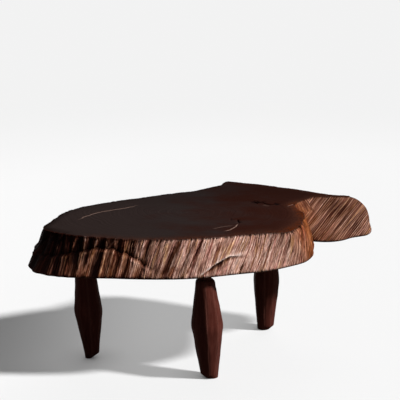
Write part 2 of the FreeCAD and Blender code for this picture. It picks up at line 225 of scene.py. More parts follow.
# Single ridges and grooves that stand out: place at the upper end and at the lower end, their
# height shares, half width, how pale (or dark, below 0) and how warm. The pale ones at the dark
# left end are partly painted highlights on lit ridges.
STREAKS = [
    (1.503, 1.500, 0.85, 0.10, 0.0020, 0.20, 0.0), (1.529, 1.522, 0.95, 0.50, 0.0030, 0.60, 0.1),
    (1.522, 1.521, 0.44, 0.05, 0.0045, 0.50, 0.0), (1.542, 1.542, 1.05, 0.90, 0.0045, 0.45, 0.0),
    (1.541, 1.540, 0.38, 0.04, 0.0028, 0.40, 0.4), (1.556, 1.549, 0.56, 0.06, 0.0038, 0.75, 0.7),
    (1.560, 1.556, 1.00, 0.70, 0.0032, 0.60, 0.1), (1.576, 1.575, 0.58, 0.10, 0.0045, 0.40, 0.2),
    (1.588, 1.578, 1.00, 0.70, 0.0040, 0.50, 0.1), (1.596, 1.594, 0.58, 0.05, 0.0035, 0.30, 0.2),
    (1.642, 1.639, 1.05, 0.55, 0.0050, 0.35, 0.4), (1.690, 1.683, 0.97, 0.10, 0.0075, -0.50, 0.2),
    (1.694, 1.692, 0.30, 0.00, 0.0080, -0.15, 0.8), (1.711, 1.706, 0.92, 0.25, 0.0015, -0.60, 0.0),
    (1.724, 1.715, 1.00, 0.10, 0.0028, -0.60, 0.1), (1.808, 1.802, 0.92, 0.38, 0.0026, -0.45, 0.1),
    (1.850, 1.829, 0.92, 0.08, 0.0024, -0.45, 0.1), (1.788, 1.786, 0.40, 0.10, 0.0060, 0.25, 0.0),
]
# How far a streak stands out
STREAK_RELIEF = 0.0022
# How dark and how warm the edge's wood is, by place. The darkness at the left end is partly
# painted shade.
TONES = [
    (0.00, 0.50, 0.00), (1.00, 0.55, 0.00), (1.30, 0.75, 0.00), (1.42, 1.05, 0.00),
    (1.495, 1.06, 0.00), (1.535, 0.94, 0.04), (1.567, 0.86, 0.10), (1.60, 0.64, 0.15),
    (1.645, 0.34, 0.10), (1.69, 0.10, 0.00), (1.76, 0.02, 0.00), (1.82, 0.06, 0.08),
    (1.87, 0.12, 0.30), (1.91, 0.40, 0.80), (1.94, 0.55, 0.95), (2.00, 0.54, 0.85),
    (2.11, 0.50, 0.75), (2.24, 0.52, 0.45), (2.32, 0.52, 0.08), (2.90, 0.48, 0.08),
    (3.00, 0.50, 0.00),
]
# How strongly the grooves are darkened with painted shade, by place
GROOVE_TONES = [
    (0.00, 1.00), (1.66, 1.00), (1.72, 0.75), (1.79, 0.50), (1.88, 0.50), (1.92, 1.00),
    (2.00, 1.20), (2.20, 1.50), (2.90, 1.50), (3.00, 1.00),
]
# The wear on the top beside the rim: place, reach and how reddish (or dark, below 0)
RIM_TINTS = [
    (0.00, 0.012, 0.35), (1.00, 0.010, 0.10), (1.30, 0.012, -0.50), (1.37, 0.014, -0.85),
    (1.47, 0.014, -0.85), (1.51, 0.013, -0.30), (1.55, 0.018, 0.25), (1.60, 0.018, 0.40),
    (1.76, 0.020, 0.55), (1.84, 0.026, 0.75), (1.90, 0.032, 0.90), (1.96, 0.030, 0.95),
    (2.00, 0.022, 0.75), (2.25, 0.014, 0.55), (2.50, 0.012, 0.40), (3.00, 0.012, 0.35),
]


def clamp(x):
    """The numbers, held between 0 and 1."""
    return np.clip(x, 0.0, 1.0)


def ease(t):
    """Goes smoothly from 0 to 1, level at both ends."""
    return t * t * (3.0 - 2.0 * t)


def smooth_step(low, high, x):
    """0 below low, 1 above high, and smooth between."""
    return ease(clamp((x - low) / (high - low)))


def fall(low, high, x):
    """1 below low, 0 above high, and smooth between."""
    return 1.0 - smooth_step(low, high, x)


def bump(x, width):
    """1 at x = 0, dying away over about twice the width."""
    return np.exp(-((x / width) ** 2))


def unit(vectors):
    """The vectors at length 1."""
    return vectors / np.linalg.norm(vectors, axis=1)[:, None]


def spoke(angle):
    """The level direction at an angle from +X."""
    return np.array([math.cos(angle), math.sin(angle)])


def lengths_along(points):
    """Distance to each point along the line through them."""
    return np.concatenate([[0.0], np.cumsum(np.hypot(*np.diff(points, axis=0).T))])


def middle_of(box):
    """x and y of the middle of a CAD node's box."""
    low, high = box
    return (np.array(low.xy) + np.array(high.xy)) / 2.0


# Rows, and columns, of the table of random values
LATTICE = 256


def noise(x, y, seed):
    """Smooth random values from -1 to 1, about one swing for each unit of x and y."""
    table = np.random.default_rng(seed).random((LATTICE, LATTICE)) * 2.0 - 1.0
    x, y = np.broadcast_arrays(x, y)
    left = np.floor(x).astype(int)
    low = np.floor(y).astype(int)
    across = ease(x - left)
    up = ease(y - low)
    near, far = (
        table[left % LATTICE, row % LATTICE] * (1.0 - across)
        + table[(left + 1) % LATTICE, row % LATTICE] * across
        for row in (low, low + 1)
    )
    return near * (1.0 - up) + far * up


def groove_lines(x, y, seed, width=0.35):
    """1 along the middle of winding grooves, about one for each two units of x, and 0 beside."""
    return clamp(1.0 - np.abs(noise(x, y, seed)) / width)


# The slab's edge as a smooth surface

stations = np.array(STATION_SHARES)
scale = np.array([SLAB_LENGTH, SLAB_DEPTH])
rim_stations = stations[:, 0:2] * scale
wide_stations = stations[:, 2:4] * scale
bulges = stations[:, 4]

# Distances round the widest outline from the wing's tip, and the whole way round at the end
station_places = lengths_along(np.vstack([wide_stations, wide_stations[:1]]))
PERIMETER = station_places[-1]
NOTCH_PLACE = station_places[CORNER_STATIONS[2]]
FAR_CORNER_PLACE = station_places[CORNER_STATIONS[1]]


def distances_of(places):
    """Distances round the widest outline, from the wing's tip, of places in the tables."""
    ends = [station_places[corner] for corner in CORNER_STATIONS]
    return np.interp(places, range(len(ends)), ends)


def end_slope(x, y):
    """Slope at the first of three points on the parabola through them."""
    first = (y[1] - y[0]) / (x[1] - x[0])
    second = (y[2] - y[1]) / (x[2] - x[1])
    return first - (second - first) / (x[2] - x[0]) * (x[1] - x[0])


def curve_bends(x, y):
    """Second derivatives of the smooth curve through the points, for each column of y."""
    step = np.diff(x)
    slopes = np.diff(y, axis=0) / step[:, None]
    slopes = np.vstack([end_slope(x[:3], y[:3]), slopes, end_slope(x[:-4:-1], y[:-4:-1])])
    padded = np.concatenate([[0.0], step, [0.0]])
    matrix = np.diag(2.0 * (padded[:-1] + padded[1:])) + np.diag(step, 1) + np.diag(step, -1)
    return np.linalg.solve(matrix, 6.0 * np.diff(slopes, axis=0))


def along_outline(values, place):
    """The stations' values at each place, on three smooth runs that meet at the corners."""
    values = np.vstack([values, values[:1]])
    place = np.mod(place, PERIMETER)
    result = np.zeros((len(place), values.shape[1]))
    for first, last in zip(CORNER_STATIONS, CORNER_STATIONS[1:]):
        x = station_places[first: last + 1]
        y = values[first: last + 1]
        bends = curve_bends(x, y)
        here = (place >= x[0]) & (place <= x[-1])
        q = place[here]
        k = np.clip(np.searchsorted(x, q, side="right") - 1, 0, len(x) - 2)
        step = (x[k + 1] - x[k])[:, None]
        before = (x[k + 1] - q)[:, None] / step
        after = (q - x[k])[:, None] / step
        curve = (before ** 3 - before) * bends[k] + (after ** 3 - after) * bends[k + 1]
        result[here] = before * y[k] + after * y[k + 1] + curve * step ** 2 / 6.0
    return result


def outline(place, share):
    """x and y at each place, on the outline at a height share: 0 is widest and 1 the rim."""
    even_flare = 1.0 - share
    full_flare = math.sqrt(1.0 - share ** 2)
    flare = even_flare + (full_flare - even_flare) * bulges[:, None]
    points = rim_stations + (wide_stations - rim_stations) * flare
    return along_outline(points, place) + outline_shift


# The front leg's joint from the middle of the shares. Its wedge shows where it is in the frame.
FRONT_JOINT = (0.014 * SLAB_LENGTH - 0.014, -0.383 * SLAB_DEPTH)
outline_shift = middle_of(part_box("wedge_front")) - FRONT_JOINT

# How far each side of a place the outline is compared to find which way it faces, and how much
# further at the wing's tip and the far corner, whose turns are tight
FACING_REACH = 0.005
CORNER_REACH = 0.022


def near_corner(place):
    """1 by the wing's tip and the far corner, and 0 away from them."""
    place = np.mod(place, PERIMETER)
    from_tip = np.minimum(place, PERIMETER - place)
    from_corner = np.minimum(from_tip, np.abs(place - FAR_CORNER_PLACE) * 2.0)
    return fall(0.025, 0.070, from_corner)


def outward(place, share):
    """Level direction out of the slab at each place."""
    reach = FACING_REACH + CORNER_REACH * near_corner(place)
    run = outline(place + reach, share) - outline(place - reach, share)
    return unit(np.stack([run[:, 1], -run[:, 0]], 1))


def by_place(table, place, column=1):
    """A table's column at each distance round the edge."""
    rows = np.array(table)
    return np.interp(np.mod(place, PERIMETER), distances_of(rows[:, 0]), rows[:, column])


def step_along(start, end, place):
    """0 before a place in the tables, 1 after another, and smooth between."""
    return smooth_step(distances_of(start), distances_of(end), place)


def main_flute_rows():
    """Distances of the main flutes at the rim and at the foot, and their depths.

    A ridge lies halfway between each two flutes."""
    rows = [(0.0, 0.0, 0.0)] + BACK_FLUTES + [(1.0, 1.0, 0.0)]
    rows += [(1.0 + rim, 1.0 + foot, depth) for rim, foot, depth in ROUND_FLUTES]
    rows.append((2.0, 2.0, 0.0))
    rows = np.array(rows)
    ridges = (rows[1:] + rows[:-1]) / 2.0
    ridges[:, 2] = 0.0
    rows = np.vstack([rows, ridges, [(3.0, 3.0, 0.0)]])
    rows = rows[np.argsort(rows[:, 0])]
    return distances_of(rows[:, 0]), distances_of(rows[:, 1]), rows[:, 2]


FLUTE_RIMS, FLUTE_FEET, FLUTE_SHARES = main_flute_rows()


def main_flutes(q):
    """How far back each flute's foot is, and how deep it is as a share."""
    q = np.mod(q, PERIMETER)
    before = np.clip(np.searchsorted(FLUTE_RIMS, q, side="right") - 1, 0, len(FLUTE_RIMS) - 2)
    along = ease((q - FLUTE_RIMS[before]) / (FLUTE_RIMS[before + 1] - FLUTE_RIMS[before]))
    depth = FLUTE_SHARES[before] + (FLUTE_SHARES[before + 1] - FLUTE_SHARES[before]) * along
    return np.interp(q, FLUTE_RIMS, FLUTE_RIMS - FLUTE_FEET), depth


def edge_rows(arris_rows, side_rows, rim_rows):
    """Height, height share and inset of each row of points, from the underside to the top."""
    rows = []
    for angle in np.radians(90.0 * np.arange(arris_rows) / arris_rows):
        height = UNDER_Z + UNDER_ROUND * (1.0 - math.cos(angle))
        rows.append((height, 0.0, UNDER_ROUND * (1.0 - math.sin(angle))))
    for share in np.arange(side_rows) / side_rows:
        rows.append((UNDER_Z + UNDER_ROUND + SIDE_HEIGHT * share, share, 0.0))
    for angle in np.radians(90.0 * np.arange(rim_rows + 1) / rim_rows):
        height = TOP_Z - RIM_ROUND * (1.0 - math.sin(angle))
        rows.append((height, 1.0, RIM_ROUND * (1.0 - math.cos(angle))))
    return rows


def small_flutes(q, along, place):
    """Depth of the smaller flutes and how deep in a groove each point lies, from 0 to 1."""
    q = q + 0.0022 * noise(q / 0.028, along / 0.032, 1)
    middle = groove_lines(q / 0.0072, along / 0.052, 3)
    fine = groove_lines(q / 0.0034, along / 0.030, 4, 0.45)
    patchy = 0.8 + 0.8 * noise(q / 0.020, along / 0.026, 5)
    depth = by_place(SMALL_FLUTES, place, 1) * middle * patchy
    depth += by_place(SMALL_FLUTES, place, 2) * fine
    depth += 0.0012 * noise(q / 0.024, along / 0.050, 6) - FLUTE_LEVEL
    return depth, clamp(0.65 * middle * patchy + 0.35 * fine)


def wing_flutes(q, along):
    """Depth of the wing's fine, even flutes and how deep in a groove each point lies."""
    middle = np.abs(np.sin(math.pi * q / WING_PITCH + noise(q / 0.013, along / 0.060, 1)))
    middle = clamp(1.0 - middle / 0.55)
    middle *= 0.80 + 0.40 * noise(q / 0.009, along / 0.040, 5)
    fine = groove_lines(q / 0.0024, along / 0.030, 4, 0.45)
    depth = 0.0015 * middle + 0.0006 * fine + 0.0004 * noise(q / 0.012, along / 0.050, 6)
    return depth - FLUTE_LEVEL, clamp(0.80 * middle + 0.20 * fine)


def ledge_relief(place, share):
    """The swell below the ledge, the step and the cut above it, and the wing tip's hollow."""
    ledge = by_place(LEDGE_ROWS, place)
    size = by_place(LEDGE_ROWS, place, 2)
    ledge = ledge + size * 0.0040 / SIDE_HEIGHT * noise(place / 0.009, 0.0, 11)
    band = LEDGE_BAND / SIDE_HEIGHT
    up = np.where(share < ledge, share / ledge, 1.0 + (share - ledge) / band)
    up = np.where(up > 2.0, 2.0 + (share - ledge - band) / (1.0 - ledge - band), up)
    groove = bump((share - ledge - band) * SIDE_HEIGHT, 0.0032) * size
    depth = np.interp(up, *zip(*LEDGE_SHAPE)) * size + 0.0020 * groove
    waist = by_place(WAIST_ROWS, place) * WAIST_DEPTH
    return depth + np.interp(up, *zip(*WAIST_SHAPE)) * waist, groove


def left_swell(place, share):
    """How much fuller the left end is than the stations, with a lip above its ledge."""
    foot, upper, lip = (by_place(SWELL_ROWS, place, column) for column in (1, 2, 3))
    swell = foot + (upper - foot) * smooth_step(0.0, 0.25, share)
    return SWELL * swell + LIP * lip * bump(share - LIP_HEIGHT, LIP_HALF_HEIGHT)


def gash_relief(place, share):
    """A leaf-shaped gash with a raised upper lip, and the knot hole below its end.

    Returns the depth, how dark it is, the lip and the shade below the gash."""
    over = (share - by_place(GASH_ROWS, place)) * SIDE_HEIGHT
    start, middle, end = distances_of(GASH_PLACES)
    present = smooth_step(start - 0.007, start + 0.007, place) * fall(end - 0.01, end + 0.01, place)
    leaf = bump(place - middle, 0.024)
    gash = bump(over + 0.0055, 0.0030 + 0.0035 * leaf) * present
    lip = bump(over - 0.0030, 0.0028) * present
    hole_place, hole_share, half_width, half_height, hole_depth = KNOT_HOLE
    across = (place - distances_of(hole_place)) / half_width
    up = (share - hole_share) * SIDE_HEIGHT / half_height
    hole = np.exp(-(across ** 2 + up ** 2))
    depth = GASH_DEPTH * gash * (0.4 + 0.6 * leaf) - GASH_LIP * lip + hole_depth * hole
    shade = bump(over + 0.0140, 0.0110) * present * leaf
    return depth, clamp(gash * (0.45 + 0.55 * leaf) + hole), lip, shade


def streak_tones(q, share):
    """How pale (or dark) and how warm the streaks are at a height share."""
    pale = np.zeros(len(q))
    warm = np.zeros(len(q))
    for high_place, low_place, high, low, half_width, paleness, warmth in STREAKS:
        along = clamp((share - low) / (high - low))
        middle = distances_of(low_place + (high_place - low_place) * along)
        middle = middle + 0.0010 * math.sin(37.0 * share + 90.0 * low_place)
        present = smooth_step(low - 0.06, low + 0.04, share) * fall(high - 0.04, high + 0.06, share)
        streak = bump(q - middle, half_width) * present
        pale += paleness * streak
        warm = np.maximum(warm, warmth * streak)
    return pale, warm


def edge_looks(place, q, share, below_rim, above_foot, main_depth):
    """How warm, how dark and how stained (or paler, below 0) each point is.

    The darkness holds painted shade and painted highlights, and the stain holds painted shade
    along the foot.
    """
    dark = by_place(TONES, place)
    warm = by_place(TONES, place, 2)
    on_wing = place > NOTCH_PLACE
    # Where the wood is dark, painted shade deepens the main flutes and painted highlights light
    # some crests on the near side
    shaded = smooth_step(0.15, 0.80, dark) * (place < NOTCH_PLACE)
    crest = fall(0.0, 0.40, main_depth)
    lit = clamp(0.5 + noise(q / 0.019, below_rim / 0.080, 54))
    near_side = step_along(1.49, 1.555, place)
    dark += shaded * (0.18 * main_depth - 0.30 * crest * lit * near_side)
    patchy = 0.10 + 0.10 * shaded - 0.05 * on_wing
    dark += patchy * noise(q / 0.011, below_rim / 0.045, 52)
    ledge = by_place(LEDGE_ROWS, place)
    size = by_place(LEDGE_ROWS, place, 2)
    below_ledge = size * fall(ledge, ledge + 0.05, share) * near_side
    dark -= 0.08 * below_ledge
    # A painted highlight along the ledge's edge, and painted shade above the ledge
    dark -= 0.35 * bump(share - ledge + 0.005, 0.035) * size * near_side * lit
    dark += 0.12 * size * bump(share - ledge - 0.13, 0.09)
    warm += 0.15 * below_ledge
    warm *= 1.0 - 0.55 * on_wing * fall(0.2, 0.8, share)
    warm += 0.12 * noise(q / 0.016, below_rim / 0.030, 53)
    pale, streak_warm = streak_tones(q, share)
    dark -= pale
    warm = np.maximum(warm, streak_warm)
    uneven = np.abs(noise(q / 0.006, 0.0, 51))
    # A stain in a band below the rim, and painted shade along the foot, wider at the left end
    band = 0.0015 + 0.0030 * uneven + 0.0040 * (1.0 - step_along(1.55, 1.66, place))
    stain_and_painted_light = fall(0.6 * band, 1.4 * band, below_rim)
    foot = 0.0015 + 0.0045 * (1.0 - step_along(1.60, 1.72, place)) + 0.0020 * uneven
    stain_and_painted_light = np.maximum(stain_and_painted_light, fall(foot, foot + 0.0035, above_foot))
    return np.column_stack([warm, dark, 0.85 * stain_and_painted_light])


def to_wing_planes(starts, place, level, height, share, depth, groove):
    """Turns the flutes on the wing into its slanting planes.

    Returns where each point lies across the grain, the depth, how deep in a groove it is, how
    far it keeps the other flutes instead, and how far it lies in the upright ones."""
    q = level[:, 0] - WING_PLANE_LEAN[0] * level[:, 1] - WING_PLANE_LEAN[1] * height
    past_tip = np.where(place > PERIMETER, place - PERIMETER, 0.0)
    kept = smooth_step(*WING_FLUTES_FADE, past_tip)
    plane_depth, plane_groove = wing_flutes(q, WING_DOWN_SHARE * (TOP_Z - height))
    q = WING_FINENESS * q * (1.0 - kept) + starts * kept
    upright = fall(*UPRIGHT_REACH, place - NOTCH_PLACE) * smooth_step(*UPRIGHT_HEIGHTS, share)
    q = np.where(upright > 0.5, WING_FINENESS * starts, q)
    kept = np.maximum(kept, upright)
    depth = plane_depth * (1.0 - kept) + depth * kept
    groove = plane_groove * (1.0 - kept) + groove * kept
    return q, depth, groove, kept, upright


def rim_wear(place, below_rim, groove, tight):
    """How far in and how far down the edge is worn towards the rim."""
    wear = by_place(RIM_WEAR, place)
    worn_left = by_place(LEFT_WEAR, place)
    bitten = bump(below_rim, BITE_REACH) * (RIM_BITE + GROOVE_BITE * groove * wear)
    bitten = bitten * (1.0 - tight)
    bitten = bitten + LEFT_WEAR_IN * worn_left * bump(below_rim, LEFT_WEAR_REACH)
    drop = GROOVE_DROP * groove * wear + LEFT_WEAR_DOWN * worn_left
    return bitten, drop * bump(below_rim, DROP_REACH)


def edge_surface(starts, rows, in_planes):
    """Points and looks of one stretch of the edge, as arrays of rows by columns.

    starts are the places at the rim. Columns run along the flutes, or straight down where the
    flutes lie in the wing's planes."""
    lean, full_depth = main_flutes(starts)
    points = []
    flows = []
    looks = []
    for height, share, inset in rows:
        below_rim = TOP_Z - height
        place = starts - lean * (1.0 - share)
        round_place = np.mod(place, PERIMETER)
        facing = outward(place, share)
        level = outline(place, share) - facing * inset
        depth, groove = small_flutes(starts, below_rim, round_place)
        q = starts
        kept = 1.0
        upright = 0.0
        if in_planes:
            q, depth, groove, kept, upright = to_wing_planes(
                starts, place, level, height, share, depth, groove
            )
        fading = 1.0 - step_along(*FLUTES_REACH_RIM, round_place)
        main_depth = full_depth * (1.0 - 0.7 * fading * smooth_step(0.70, 1.0, share))
        depth = depth + FLUTE_DEPTH * main_depth
        groove = groove + 0.75 * smooth_step(0.35, 1.0, main_depth)
        ledge, ledge_groove = ledge_relief(round_place, share)
        gash, gash_groove, lip, shade = gash_relief(np.mod(starts, PERIMETER), share)
        depth = depth * (1.0 - 0.5 * lip) + ledge + gash
        groove = clamp(groove * (1.0 - 0.7 * lip) + ledge_groove + gash_groove)
        pale, _ = streak_tones(starts, share)
        depth = depth - STREAK_RELIEF * np.clip(pale, -1.0, 0.6)
        facet = bump(PERIMETER - round_place - TIP_FACET[0], TIP_FACET[1])
        facet = facet * fall(0.05, 0.30, share)
        depth = depth * (1.0 - 0.8 * facet) - left_swell(round_place, share)
        tight = near_corner(place)
        depth = depth * (1.0 - 0.9 * tight * share)
        bitten, drop = rim_wear(round_place, below_rim, groove, tight)
        depth = depth * smooth_step(UNDER_Z, UNDER_Z + 0.6 * UNDER_ROUND, height) + bitten
        points.append(np.column_stack([level - facing * depth[:, None], height - drop]))
        along = np.full_like(place, below_rim)
        # The third value sets how far painted shade darkens the grooves
        flows.append(np.column_stack([q, along, groove * by_place(GROOVE_TONES, round_place)]))
        look = edge_looks(round_place, q, share, below_rim, height - UNDER_Z, main_depth)
        # Darker in the gash and its knot hole, and with painted shade below the gash; paler in the
        # upright flutes and on the tip's facet
        look[:, 1] += 0.75 * gash_groove + 0.32 * shade - 0.12 * upright - 0.18 * facet
        # Painted shade darkens the wing's grooves, and its ridges are lighter
        look[:, 1] += WING_CONTRAST * (groove - 0.12) * (1.0 - kept)
        # A painted highlight makes the gash's raised lip paler
        look[:, 2] -= 0.55 * lip * np.clip(0.8 + noise(q / 0.007, along / 0.02, 55), 0.0, 1.2)
        looks.append(np.clip(look, (0.0, 0.0, -1.0), 1.0))
    return np.array(points), np.array(flows), np.array(looks)


# From one column of the edge's points to the next: where the photo shows it, at the back and on
# the wing. Then where the first of these starts, and how far past the tip the wing's columns run.
SEEN_STEP = 0.00125
BACK_STEP = 0.0022
WING_STEP = 0.0012
SEEN_START = 1.30
WING_PAST_TIP = 0.06
# Rows of points on the lower arris, up the side and on the rim
COARSE_ROWS = (5, 27, 2)
WING_ROWS = (8, 76, 2)
# The top's and the underside's points: each ring's distance in from the outline and which of its
# points are taken, and from one point of the grid to the next
TOP_RINGS = ((0.0035, 1), (0.0065, 2), (0.0110, 4))
UNDER_RINGS = ((UNDER_ROUND + 0.005, 3), (UNDER_ROUND + 0.013, 6))
TOP_STEP = 0.0095
UNDER_STEP = 0.017
# How far the top swells and sinks
TOP_SWELL = 0.0004


def even_places(start, end, step):
    """Evenly spaced places from start, without the end."""
    count = round((end - start) / step)
    return start + (end - start) * np.arange(count) / count


class MeshParts:
    """Vertices, faces and looks of the slab, gathered piece by piece."""

    def __init__(self):
        self.points = []
        self.flows = []
        self.looks = []
        self.marks = []
        self.by_rim = []
        self.faces = []
        self.kinds = []

    def add_points(self, points, flows=(0.0,) * 3, looks=(0.0,) * 3, marks=0.0, by_rim=0.0):
        """Adds points and returns the number of each."""
        first = len(self.points)
        count = len(points)
        self.points.extend(points)
        self.flows.extend(np.broadcast_to(flows, (count, 3)))
        self.looks.extend(np.broadcast_to(looks, (count, 3)))
        self.marks.extend(np.broadcast_to(marks, count))
        self.by_rim.extend(np.broadcast_to(by_rim, count))
        return list(range(first, first + count))

    def add_face(self, corners, kind):
        self.faces.append(tuple(corners))
        self.kinds.append(kind)

    def level(self, numbers):
        """x and y of the numbered points."""
        return np.array([self.points[number][:2] for number in numbers])


# Which of the slab's materials a face has
SIDE, TOP, UNDERSIDE = 0, 1, 2


def join_columns(parts, left, left_heights, right, right_heights):
    """Fills the strip between two columns of points, each listed from the underside up."""
    if len(left) == len(right):
        for low in range(len(left) - 1):
            parts.add_face((left[low], right[low], right[low + 1], left[low + 1]), SIDE)
        return
    i = 0
    j = 0
    while i < len(left) - 1 or j < len(right) - 1:
        next_left = left_heights[i + 1] if i < len(left) - 1 else math.inf
        next_right = right_heights[j + 1] if j < len(right) - 1 else math.inf
        if next_left <= next_right:
            parts.add_face((left[i], right[j], left[i + 1]), SIDE)
            i += 1
        else:
            parts.add_face((left[i], right[j], right[j + 1]), SIDE)
            j += 1


def inside_outline(points, loop):
    """Whether each point lies inside the closed loop."""
    inside = np.zeros(len(points), bool)
    x, y = points[:, 0], points[:, 1]
    for start, end in zip(loop, np.roll(loop, -1, axis=0)):
        crosses = (start[1] > y) != (end[1] > y)
        reach = (end[0] - start[0]) * (y - start[1]) / (end[1] - start[1] + 1e-12) + start[0]
        inside ^= crosses & (x < reach)
    return inside


def hex_grid(low, high, step):
    """Points of a staggered grid over a box."""
    rows = []
    row_step = step * math.sqrt(3.0) / 2.0
    for index, y in enumerate(np.arange(low[1], high[1], row_step)):
        x = np.arange(low[0] + (index % 2) * step / 2.0, high[0], step)
        rows.append(np.column_stack([x, np.full_like(x, y)]))
    return np.vstack(rows)


def nearest(points, targets):
    """Distance from each point to the nearest target, and which target that is."""
    tree = kdtree.KDTree(len(targets))
    for index, target in enumerate(targets):
        tree.insert((*target, 0.0), index)
    tree.balance()
    found = [tree.find((*point, 0.0)) for point in points]
    return np.array([f[2] for f in found]), np.array([f[1] for f in found])


def fill_outline(points, loops):
    """Triangles over the points within the first loop of point numbers."""
    edges = []
    for loop in loops:
        edges.extend(zip(loop, loop[1:] + loop[:1]))
    flat = [Vector(point) for point in points]
    made, _, faces, origins, _, _ = geometry.delaunay_2d_cdt(flat, edges, [], 1, 1e-7)
    if len(made) != len(points):
        raise RuntimeError("the outline crosses itself")
    return [[origins[corner][0] for corner in face] for face in faces]


# Marks on the top: points on its plane, half width, depth, and how pale (or dark, below 0)
TOP_MARKS = [
    ([(-0.373, -0.107), (-0.350, -0.066), (-0.321, -0.036), (-0.290, -0.012), (-0.253, 0.006),
      (-0.220, 0.030), (-0.196, 0.053)], 0.0030, 0.0004, 0.55),
    ([(0.050, -0.217), (0.062, -0.208), (0.072, -0.198), (0.082, -0.178), (0.090, -0.158),
      (0.094, -0.142)], 0.0022, 0.0006, 1.0),
    ([(0.018, -0.194), (0.040, -0.178), (0.060, -0.166), (0.080, -0.158)],
     0.0018, 0.0003, 0.45),
    ([(0.092, -0.098), (0.095, -0.116), (0.098, -0.136)], 0.0034, 0.0030, -1.0),
    ([(0.073, -0.088), (0.0735, -0.112)], 0.0018, 0.0014, -0.7),
    ([(0.150, 0.098), (0.157, 0.088), (0.166, 0.075), (0.180, 0.064), (0.195, 0.054),
      (0.209, 0.046)], 0.0060, 0.0030, -1.0),
    ([(0.143, 0.098), (0.152, 0.084), (0.163, 0.080), (0.172, 0.070)], 0.0190, 0.0028, -1.0),
    ([(0.202, 0.066), (0.212, 0.062), (0.222, 0.054)], 0.0120, 0.0020, -1.0),
    ([(0.170, 0.052), (0.182, 0.046), (0.192, 0.044)], 0.0080, 0.0006, 0.10),
    ([(0.243, 0.036), (0.253, 0.048), (0.263, 0.062)], 0.0018, 0.0016, 0.7),
]
# From one point to the next along a mark, the rows across it as shares of its half width, and how
# far the top's other points keep away
MARK_STEP = 0.0022
MARK_ROWS = (-1.0, -0.5, 0.0, 0.5, 1.0)
MARK_CLEARANCE = 0.0030


def mark_points():
    """Rows of points along each mark, with how far into the mark each lies."""
    places = []
    depths = []
    tones = []
    for line, half_width, depth, tone in TOP_MARKS:
        lengths = lengths_along(line)
        steps = np.linspace(0.0, lengths[-1], max(3, round(lengths[-1] / MARK_STEP)))
        middle = np.column_stack([np.interp(steps, lengths, values) for values in zip(*line)])
        run = unit(np.gradient(middle, axis=0))
        left = np.column_stack([-run[:, 1], run[:, 0]])
        fade = clamp(np.minimum(steps, lengths[-1] - steps) / (0.15 * lengths[-1]))
        wander = half_width * 0.6 * noise(steps / 0.012, 0.0, 21)
        for row in MARK_ROWS:
            offset = row * half_width * (0.4 + 0.6 * fade) + wander
            places.append(middle + left * offset[:, None])
            depths.append(depth * fade * (1.0 - abs(row)))
            tones.append(tone * fade * (1.0 - row ** 2))
    return np.vstack(places), np.concatenate(depths), np.concatenate(tones)


def add_flat_face(parts, boundary, starts, share, rings, step, height_at, extra=None):
    """Points of the top or the underside, between the boundary's points, which are in parts.

    They lie in rings set in from the outline, in a grid and on the extra points. Each ring is
    a distance from the outline and which of its points are taken."""
    loop = parts.level(boundary)
    inner = np.vstack([
        (outline(starts, share) - outward(starts, share) * distance)[::every]
        for distance, every in rings
    ])
    distances = np.concatenate([np.full(len(starts[::every]), far) for far, every in rings])
    inside = inside_outline(inner, loop)
    inner = inner[inside]
    inner = inner[nearest(inner, loop)[0] > 0.6 * distances[inside]]
    grid = hex_grid(loop.min(0), loop.max(0), step)
    grid = grid[inside_outline(grid, loop)]
    grid = grid[nearest(grid, loop)[0] > rings[-1][0] + 0.6 * step]
    loose = np.vstack([inner, grid])
    extra_points, extra_depths, extra_tones = extra or (np.zeros((0, 2)), [], [])
    if extra:
        loose = loose[nearest(loose, extra_points)[0] > MARK_CLEARANCE]
    points = np.vstack([loose, extra_points])
    plain = np.zeros(len(loose))
    away, owner = nearest(points, loop)
    heights = height_at(points, away, owner) - np.concatenate([plain, extra_depths])
    places = starts[owner]
    by_rim = by_place(RIM_TINTS, places, 2) * bump(away, by_place(RIM_TINTS, places))
    tones = np.concatenate([plain, extra_tones])
    return parts.add_points(np.column_stack([points, heights]), marks=tones, by_rim=by_rim)


def make_slab_mesh():
    """The whole slab: fluted edge, top, and underside with its three blind mortises."""
    parts = MeshParts()
    stretches = [
        (even_places(WING_PAST_TIP, SEEN_START, BACK_STEP), COARSE_ROWS, False),
        (even_places(SEEN_START, NOTCH_PLACE, SEEN_STEP), COARSE_ROWS, False),
        (even_places(NOTCH_PLACE, PERIMETER + WING_PAST_TIP, WING_STEP), WING_ROWS, True),
    ]
    columns = []
    for starts, row_counts, in_planes in stretches:
        rows = edge_rows(*row_counts)
        surface = edge_surface(starts, rows, in_planes)
        heights = [row[0] for row in rows]
        for index, tint in enumerate(by_place(RIM_TINTS, starts, 2)):
            numbers = parts.add_points(*(values[:, index] for values in surface), by_rim=tint)
            columns.append((numbers, heights))
    for left, right in zip(columns, columns[1:] + columns[:1]):
        join_columns(parts, *left, *right)
    starts = np.concatenate([stretch[0] for stretch in stretches])
    add_top(parts, [column[0][-1] for column in columns], starts)
    add_underside(parts, [column[0][0] for column in columns], starts)
    return parts


def add_top(parts, boundary, starts):
    """The nearly flat top, with its cracks and its grooves worn over the rim."""
    rim_drops = np.array([TOP_Z - parts.points[i][2] for i in boundary])

    def height_at(points, away, owner):
        worn = rim_drops[owner] * bump(away, 0.0050)
        swell = TOP_SWELL * noise(points[:, 0] / 0.09, points[:, 1] / 0.07, 31)
        return TOP_Z - worn - TOP_SWELL + swell * smooth_step(0.0, 0.03, away)

    marks = mark_points()
    inner = add_flat_face(parts, boundary, starts, 1.0, TOP_RINGS, TOP_STEP, height_at, marks)
    numbers = boundary + inner
    for face in fill_outline(parts.level(numbers), [list(range(len(boundary)))]):
        parts.add_face((numbers[corner] for corner in face), TOP)


MORTISE_SIDES = 40


